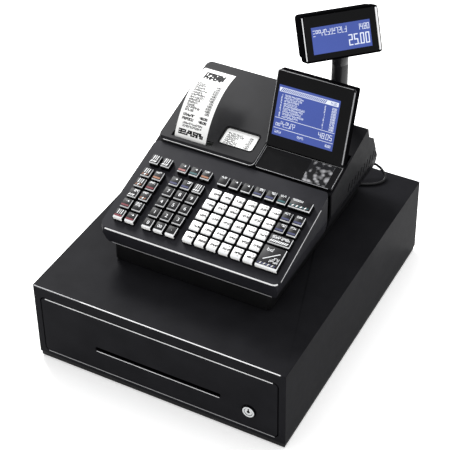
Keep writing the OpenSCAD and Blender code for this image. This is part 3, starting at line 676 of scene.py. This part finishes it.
def key_pieces():
    rng = random.Random(11)
    for name in slots:
        if not (name.startswith("key_") or name.endswith("_key") or name.endswith("_keys")):
            continue
        build = Build("cap", "rim", "label")
        boxes = islands(name)
        marks = {"clerk_keys": list(CLERK), "department_keys": list(DEPARTMENT)}.get(name, [])
        plain = list(FUNCTION)
        for i, box in enumerate(boxes):
            x0, s0, x1, s1 = box
            w, l = x1 - x0, s1 - s0
            space = DECK @ Matrix.Translation(((x0 + x1) / 2, (s0 + s1) / 2 + 0.4, CAP_TOP))
            white = name == "department_keys" and i >= len(DEPARTMENT)
            cap(build, box, "label_white" if white else "label")
            if white:
                price_marks(build, space, rng, w, l)
            elif name.startswith("key_"):
                lettering(build, space, name[-1], 8.2)
            elif name == "function_keys" and s1 < 30:
                lettering(build, space, FUNCTION_SIGNS[0 if x0 < -50 else 1], 7.2)
            elif name == "function_keys":
                legend(build, space, rng, plain.pop(0), w, l)
            elif name == "cash_key":
                cash_legend(build, space, rng, w, l)
            elif name == "subtotal_key":
                subtotal_legend(build, space, rng, w, l)
            elif name == "receipt_key":
                legend(build, space, rng, "aZ", w, l)
            else:
                legend(build, space, rng, marks[i], w, l)
        obj = build.piece("caps_" + name, body_of[name])
        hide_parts(name)


def subtotal_legend(build, space, rng, w, l):
    """Two words of signs over white stripes."""
    scribble(build, space, rng, -w * 0.38, l * 0.05, 4, 2.1, 3.6, 0.8, INK, "ink", 1.5)
    scribble(build, space, rng, w * 0.03, l * 0.05, 4, 2.1, 3.6, 0.8, INK, "ink", 1.5)
    slants(build, space, -w * 0.44, -l * 0.37, w * 0.38, -l * 0.14, 9, ("ink",))


def cash_legend(build, space, rng, w, l):
    """Signs either side of a slanting line, over stripes at the front edge."""
    scribble(build, space, rng, -w * 0.30, l * 0.24, 2, 3.6, 4.6, 0.8, INK, "ink", 1.4)
    line = [(-w * 0.30, -l * 0.17), (-w * 0.27, -l * 0.19), (w * 0.33, l * 0.21), (w * 0.30, l * 0.23)]
    stamp(build, space, line, "ink")
    scribble(build, space, rng, w * 0.10, -l * 0.10, 3, 2.4, 3.2, 0.7, INK, "ink", 1.5)
    scribble(build, space, rng, w * 0.02, -l * 0.24, 4, 2.2, 3.2, 0.7, INK, "ink", 1.5)
    slants(build, space, -w * 0.44, -l * 0.42, w * 0.36, -l * 0.33, 9, ("blue", "line"))


# ------------------------------------------------------------------ screens

SCREEN = FACE @ UPRIGHT @ Matrix.Translation((0, 0, 1.6))


# the title bar's stripes are printed just above its lit plate
HATCH = SCREEN @ Matrix.Translation((0, 0, 0.14))


def operator_screen():
    """Lit panel of the operator display with a title bar, item rows and two totals."""
    rng = random.Random(23)
    x0, x1, z0, z1 = -57.0, 39.7, 17.8, 94.0
    build = Build("screen", "lit")
    build.box(SCREEN, (x0, z0, -0.4), (x1, z1, 0.06), "screen")
    up = 0.12

    def lit(a, b, c, d):
        build.box(SCREEN, (a, b, 0), (c, d, up), "lit")

    lit(x0 + 1.5, z1 - 10, x1 - 2.2, z1 - 3.6)
    slants(build, HATCH, x0 + 3, z1 - 9.4, x1 - 22, z1 - 4.2, 26, ("screen",))
    number(build, SCREEN, "14.30", x1 - 5, z1 - 8.6, 1.8, 3.4, 0.5, up + 0.05, "screen")
    for row in range(9):
        z = z1 - 15.6 - 3.95 * row
        number(build, SCREEN, str(row + 1), x0 + 7.4, z, 1.3, 2.5, 0.5, up, "lit")
        scribble(build, SCREEN, rng, x0 + 11.5, z, rng.randint(10, 17), 1.25, 2.5, 0.45, up, "lit", 1.7)
        number(build, SCREEN, str(rng.randint(1, 3)), x1 - 21, z, 1.3, 2.5, 0.5, up, "lit")
        price = rng.choice(("3.50", "1.25", "4.80", "2.00", "6.75", "0.90"))
        number(build, SCREEN, price, x1 - 4, z, 1.5, 2.5, 0.5, up, "lit")
    for z in (44.6, 29.1):
        lit(x0 + 1.2, z - 0.35, x1 - 1.2, z + 0.35)
    scribble(build, SCREEN, rng, x0 + 4, 32.8, 8, 2.6, 7.6, 0.65, up, "lit", 1.5)
    number(build, SCREEN, "48.05", x1 - 4, 32.8, 3.4, 7.6, 0.8, up, "lit", 1.6)
    scribble(build, SCREEN, rng, x0 + 4, 21.8, 5, 1.3, 3.2, 0.45, up, "lit", 1.6)
    scribble(build, SCREEN, rng, x0 + 40, 21.8, 5, 1.3, 3.2, 0.45, up, "lit", 1.6)
    number(build, SCREEN, "16.00", x1 - 4, 21.8, 1.6, 3.4, 0.5, up, "lit")
    build.piece("operator_screen", "operator_display", crisp=20)


def operator_trim():
    """Silver line down the right edge of the glass and a fine one along its top and left."""
    x0, x1, top = -63.1, 59.2, 115.5
    build = Build("silver", "edge_dim")
    build.sweep(SCREEN, [(x1 - 0.9, 3.0, -0.1), (x1 - 0.9, top - 4, -0.1)], 0.8, "silver")
    build.sweep(SCREEN, flat_line([(x1 - 3.5, top - 0.5), (x0 + 3, top - 0.5), (x0 + 0.6, top - 3),
                                  (x0 + 0.6, 3)], -0.15), 0.35, "edge_dim")
    build.piece("operator_trim", "operator_display")


def flat_line(points, z):
    """Points of a flat line, all at height z."""
    return [(x, y, z) for x, y in points]


HEAD_SCREEN = HEAD @ UPRIGHT @ Matrix.Translation((0, 0, 1.6))


def customer_screen():
    """Lit panel of the customer display with one line of text and a large amount."""
    rng = random.Random(31)
    build = Build("screen", "lit")
    build.box(HEAD_SCREEN, (-46.5, -23.5, -0.4), (42, 15.5, 0.06), "screen")
    scribble(build, HEAD_SCREEN, rng, -44, 2.6, 12, 2.6, 8.0, 0.75, 0.12, "lit", 1.65)
    number(build, HEAD_SCREEN, "14.80", 40.0, 2.6, 2.8, 8.0, 0.75, 0.12, "lit", 1.6)
    number(build, HEAD_SCREEN, "25.00", 38.5, -17.4, 4.6, 14.5, 1.5, 0.12, "lit", 1.75)
    build.piece("customer_screen", "customer_display", crisp=20)


def customer_trim():
    build = Build("edge", "lip")
    build.box(HEAD_SCREEN, (-58.6, -31.0, -0.2), (-57.2, 31.0, 0.25), "edge")
    build.box(HEAD_SCREEN, (52.0, -31.0, -0.2), (55.0, 31.0, 0.25), "lip")
    build.piece("customer_trim", "customer_display", bevel=0.00015)


# ------------------------------------------------------------------ strip beside the cover

def strip_detail():
    """Silver lines round the gloss strip and the grey panel at its right end."""
    back = DECK.inverted()
    low, high = [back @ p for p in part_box("display_strip")]
    top = 2.5
    x0, x1, s0, s1 = low.x, high.x, 169.5, 211.0
    build = Build("silver", "art")
    build.sweep(DECK, [(x0 + 3, s0 - 0.4, top - 0.1), (x1 - 5, s0 - 0.4, top - 0.1)], 0.55, "silver")
    build.sweep(DECK, [(x1 - 0.4, s0 + 2, top - 0.1), (x1 - 0.4, s1, top - 0.1)], 0.35, "silver")
    build.sweep(DECK, [(x0 + 0.5, s0 + 2, top - 0.1), (x0 + 0.5, s1, top - 0.1)], 0.35, "silver")
    build.sweep(DECK, [(x0 + 1, s1 - 0.4, top - 0.1), (x1 - 1, s1 - 0.4, top - 0.1)], 0.3, "silver")
    panel = [ring(x1 - 48, s0 + 1.4, x1 - 10.5, s1 - 1.6, 0.8, z) for z in (top - 0.1, top + 0.06)]
    build.loft(DECK, panel, ["art"])
    build.piece("strip_detail", "chassis")


# ------------------------------------------------------------------ painted highlights on the edges of the case, and the lock's painted shadow

# how far the key deck runs on in front of its first millimetre
NOSE = -4.2


def drawer_lines():
    """Painted highlights on the drawer's rolled edges: round the housing's front and along its right top edge,
    under the panel, and along the panel's top and slot.
    """
    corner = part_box("drawer_housing")[1]
    edge, top = corner.x / MM - 2, corner.z / MM
    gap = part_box("drawer_front")[0]
    below = gap.z / MM - 1.6
    build = Build("edge", "edge_dim")
    # painted highlight, dim at the left end of the housing's top front edge and bright to the right, as the light
    # falls
    for x0, x1, name in ((-edge, -120, "edge_dim"), (-120, edge - 6, "edge")):
        build.sweep(BASE, [(x, 0.3, top - 0.35) for x in (x0, (x0 + x1) / 2, x1)], 0.7, name)
    build.sweep(BASE, [(x, 0.1, below) for x in (gap.x / MM + 4, 0, -gap.x / MM - 4)], 0.5, "edge_dim")
    build.sweep(BASE, [(edge + 1.4, y, top - 0.6) for y in (8, 200, 460)], 0.5, "edge_dim")
    build.piece("drawer_lines", "chassis")
    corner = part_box("drawer_front")[1]
    half, top = corner.x / MM - 7, corner.z / MM
    build = Build("edge", "edge_dim")
    build.sweep(BASE, [(x, 0.2, top - 0.3) for x in (-half, 0, half)], 0.7, "edge")
    build.sweep(BASE, [(x, 0.1, 52.2) for x in (-99, 0, 99)], 0.55, "edge")
    build.piece("panel_painted_highlights", "cash_drawer")


def disc(build, space, radius, z0, z1, name, inner=0.0, count=32):
    """Flat disc or washer, facing along the space's z axis."""
    turns = [k * math.tau / count for k in range(count)]
    section = [(radius, z0), (radius, z1)]
    if inner:
        section = [(inner, z0), (radius, z0), (radius, z1), (inner, z1), (inner, z0)]
    rings = [[(r * math.cos(a), r * math.sin(a), z) for a in turns] for r, z in section]
    build.loft(space, rings, [name], (not inner, not inner))


def lock_detail():
    """Dark ring behind the lock as a painted shadow round it, and the keyhole in its plug."""
    low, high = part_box("lock_barrel")
    middle = ((low.x + high.x) / 2, low.y, (low.z + high.z) / 2)
    face = Matrix.Translation(middle) @ Matrix.Scale(MM, 4) @ UPRIGHT
    build = Build("housing")
    # painted shadow: a near-black ring on the panel round the lock
    disc(build, face, 11.0, -3.0, -2.4, "housing", inner=8.2)
    build.piece("lock_shadow_ring", "cash_drawer")
    build = Build("housing", "ink_dark")
    # painted shade: a black plate over the keyhole's bore and slot; the thin ring after it is the dark line round
    # the plug
    disc(build, face, 2.3, -1.2, -0.72, "housing")
    build.box(face, (-0.95, 0, -1.2), (0.95, 5.4, -0.72), "housing")
    disc(build, face, 6.5, -1.0, -0.7, "ink_dark", inner=5.9)
    build.piece("lock_keyhole", "lock_cylinder")


def case_lines():
    """Painted highlights: a bright bead on the lip along the front of the key deck, a finer one down its right
    side and a dim one at its foot.
    """
    build = Build("lip", "edge", "edge_dim")
    low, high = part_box("keyboard_case")
    half = high.x / MM
    front = (low.y - FRONT_Y) / MM
    nose = (DECK @ Vector((0, NOSE, 0))).z / MM
    build.sweep(BASE, [(x, front - 0.1, nose - 2.2) for x in (10 - half, -60, 60, half - 10)] +
                [(half - 5, front + 1.2, nose - 2), (half - 2.6, front + 3.6, nose - 1.4)], 1.3, "lip")
    build.sweep(DECK, [(half - 0.1, 4, -2.4), (half - 0.1, 134, -2.4)], 0.6, "edge")
    foot = low.z / MM
    build.sweep(BASE, [(x, front + 8.6, foot + 0.5) for x in (14 - half, 0, half - 14)], 0.45, "edge_dim")
    build.piece("case_lines", "chassis")


def cover_lines():
    """Painted highlight at the foot of the cover's front bevel and along its right side, and the black rim of its
    window.
    """
    top, s0, x1 = 4.2, 166.9, 18.4
    corner = [(x1 - 7 + 7 * math.sin(a), s0 + 7 - 7 * math.cos(a), top) for a in
              (math.radians(15 * k) for k in range(7))]
    build = Build("lip")
    build.sweep(DECK, [(-131, s0, top), (x1 - 8, s0, top)], 0.45, "edge")
    build.sweep(DECK, corner + [(x1, 240, top), (x1, 318, top)], 0.4, "edge")
    outer, inner = (-50.5, 186.5, 8, 222.5, 6), (-48, 189, 5.5, 220, 4)
    low, high = 7.2, 7.5
    section = ((inner, low), (outer, low), (outer, high), (inner, high), (inner, low))
    build.loft(DECK, [ring(*shape, z) for shape, z in section], ["gloss"], (False, False))
    build.piece("cover_lines", "cover")


# ------------------------------------------------------------------ paper

CURL_R = 100.5
CURL_START = math.radians(-53.5)
CURL_TURN = math.radians(70.5)
PAPER_X0, PAPER_X1 = -117.5, -65.0
PAPER = 0.24
TEETH = 28


def on_curl(p):
    """Place on the curled receipt: x across it, v along it from the slot, and height off its face."""
    x, v, up = p
    a = CURL_START + v / CURL_R
    r = CURL_R + 0.12 + up
    return DECK @ Vector((x, 259 + r * math.sin(a), -55.5 + r * math.cos(a)))


def receipt():
    """Curled receipt with a header, item rows and totals."""
    rng = random.Random(5)
    length = CURL_R * CURL_TURN
    build = Build("paper", "print")
    rings = []
    for k in range(65):
        v = length * k / 64
        rings.append([(PAPER_X0, v, 0), (PAPER_X1, v, 0), (PAPER_X1, v, -PAPER), (PAPER_X0, v, -PAPER)])
    build.loft(on_curl, rings, ["paper"])
    left, right = PAPER_X0 + 6, PAPER_X1 - 7
    for y in (length - 14.2, length - 22.0):
        scribble(build, on_curl, rng, left + 4, y, 6, 3.8, 5.2, 2.5, INK, "print", 1.4)
    for k in range(22):
        x = left + k * (right - left) / 22
        build.box(on_curl, (x, length - 28.4, -0.05), (x + 1.3, length - 27.3, 0.05), "print")
    for row in range(12):
        y = length - 35 - 4.2 * row
        price = rng.choice(("3.50", "1.25", "4.80", "12.00"))
        scribble(build, on_curl, rng, left, y, rng.randint(5, 8), 1.9, 2.6, 0.8, INK, "print", 1.5)
        number(build, on_curl, price, right, y, 1.9, 2.6, 0.8, INK, "print", 1.5)
    for y in (length - 89, length - 95):
        scribble(build, on_curl, rng, left, y, 6, 2.0, 3.0, 1.1, INK, "print", 1.55)
        number(build, on_curl, "48.05", right, y, 2.0, 3.0, 1.1, INK, "print", 1.55)
    for y in (length - 101, length - 105.5):
        scribble(build, on_curl, rng, left + 3, y, 12, 1.7, 2.4, 0.7, INK, "print", 1.6)
    scribble(build, on_curl, rng, left, length - 116.5, 8, 3.4, 6.0, 2.2, INK, "print", 1.5)
    for k in range(TEETH):
        x = PAPER_X0 + (PAPER_X1 - PAPER_X0) * k / TEETH
        tooth = [(x, length - 0.3), (x + 2.05, length - 0.3), (x + 1.03, length + 0.9)]
        build.loft(on_curl, [[(a, b, z) for a, b in tooth] for z in (-PAPER, 0)], ["paper"])
    obj = build.piece("receipt_printed", "cover")
    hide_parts("receipt_paper")


def journal():
    """Journal paper that runs from the platen under the window to the take-up spool."""
    rng = random.Random(7)
    # distance up the slope and height over the deck, from the platen over the window's bed to the spool
    path = [(186, -5.5), (187.5, -1.5), (190, 0.6), (193, 1.0), (216, 1.0), (222, 0.4), (228, -1.2),
            (288, -20)]
    build = Build("journal", "print")
    rings = []
    for s, n in path:
        rings.append([(-50, s, n), (4, s, n), (4, s, n - 0.2), (-50, s, n - 0.2)])
    build.loft(DECK, rings, ["journal"])
    flat = DECK @ Matrix.Translation((0, 0, 1.0))
    for row in range(6):
        y = 194.5 + 3.8 * row
        scribble(build, flat, rng, -45, y, rng.randint(6, 10), 1.7, 2.4, 0.75, INK, "print", 1.6)
        number(build, flat, rng.choice(("3.50", "1.25", "4.80")), -4, y, 1.7, 2.4, 0.75, INK, "print", 1.6)
    build.piece("journal_paper_painted_glow", "chassis", crisp=20)


# ------------------------------------------------------------------ inside and back

def board_parts():
    """Chip bodies with legs, capacitors and a connector on the main board."""
    # the chips stand 3 mm over the board
    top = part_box("main_board")[1].z / MM - 3
    build = Build("chip", "zinc", "spool")
    for x, y, size in ((-70, 150, 30), (10, 160, 24), (60, 200, 18)):
        build.box(BASE, (x - 0.3, y - 0.3, top + 0.6), (x + size + 0.3, y + size + 0.3, top + 3.4), "chip")
        for k in range(int(size / 2.4)):
            a = x + 1.2 + 2.4 * k
            build.box(BASE, (a, y - 2.2, top), (a + 1, y - 0.2, top + 0.9), "zinc")
            build.box(BASE, (a, y + size + 0.2, top), (a + 1, y + size + 2.2, top + 0.9), "zinc")
    for x, y in ((-92, 140), (-92, 152), (-30, 230), (40, 236), (92, 150)):
        build.sweep(BASE, [(x, y, top), (x, y, top + 9), (x, y, top + 11)], 3.6, "chip")
    build.box(BASE, (-30, 246, top), (24, 252, top + 7), "spool")
    build.piece("board_parts", "chassis", bevel=0.0002)


def winding():
    """Taped winding round the middle of the transformer."""
    low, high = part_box("power_supply")
    y = (low.y + high.y) / 2 / MM - FRONT_Y / MM
    x0, x1 = low.x / MM + 2.8, high.x / MM - 2.8
    build = Build("copper")
    rings = [ring(x0, y - 13, x1, y + 13, 4, z) for z in (low.z / MM + 8, high.z / MM - 5)]
    build.loft(BASE, rings, ["copper"])
    build.piece("transformer_winding", "chassis", bevel=0.0008)


def rear_ports():
    """Dark mouths of the sockets on the connector panel."""
    y = (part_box("rear_panel")[1].y - FRONT_Y) / MM
    build = Build("chip", "zinc")
    for x in (-50, -20):
        build.box(BASE, (x + 2, y - 2.6, 148), (x + 20, y - 0.9, 154), "chip")
        for side in (x - 3.5, x + 25.5):
            space = BASE @ Matrix.Translation((side, y - 3.8, 151)) @ AWAY
            disc(build, space, 2.2, 0, 1.2, "zinc")
    for x in (20, 44):
        build.box(BASE, (x + 1.5, y - 3, 147), (x + 12.5, y - 1.8, 151), "chip")
    build.box(BASE, (71.5, y - 2, 146.5), (82.5, y + 0.1, 155.5), "chip")
    build.piece("rear_ports", "chassis", bevel=0.0001)


# ------------------------------------------------------------------ stage and light

def lamp(name, at, aim, size, power, color=(1, 1, 1)):
    data = bpy.data.lights.new(name, "AREA")
    data.shape = "RECTANGLE"
    data.size, data.size_y = size
    data.energy = power
    data.color = color
    obj = bpy.data.objects.new(name, data)
    obj.location = at
    obj.rotation_euler = (Vector(aim) - Vector(at)).to_track_quat("-Z", "Y").to_euler()
    bpy.context.collection.objects.link(obj)


def studio():
    floor_build = bmesh.new()
    bmesh.ops.create_grid(floor_build, x_segments=1, y_segments=1, size=6)
    mesh = bpy.data.meshes.new("floor")
    floor_build.to_mesh(mesh)
    floor_build.free()
    mesh.materials.append(material("floor_white", (0.95, 0.95, 0.95), 0.9, glow=0.34))
    floor = bpy.data.objects.new("floor", mesh)
    bpy.context.collection.objects.link(floor)
    world = bpy.data.worlds.new("studio")
    world.use_nodes = True
    world.node_tree.nodes["Background"].inputs["Color"].default_value = (1, 1, 1, 1)
    world.node_tree.nodes["Background"].inputs["Strength"].default_value = 0.75
    bpy.context.scene.world = world
    bpy.context.scene.view_settings.view_transform = "Standard"
    lamp("left_back", (-1.35, 1.05, 1.5), (-0.13, -0.1, 0.13), (0.8, 0.8), 75)
    lamp("front_right", (1.5, -1.4, 0.9), (0, 0, 0.2), (0.9, 1.2), 3)
    lamp("top", (0.2, 0.1, 2.2), (0, 0, 0.1), (1.6, 1.6), 16)


drawer_lead()
finish_nodes()
drawer_lines()
lock_detail()
key_pieces()
operator_screen()
operator_trim()
customer_screen()
customer_trim()
strip_detail()
case_lines()
cover_lines()
receipt()
journal()
board_parts()
winding()
rear_ports()
studio()
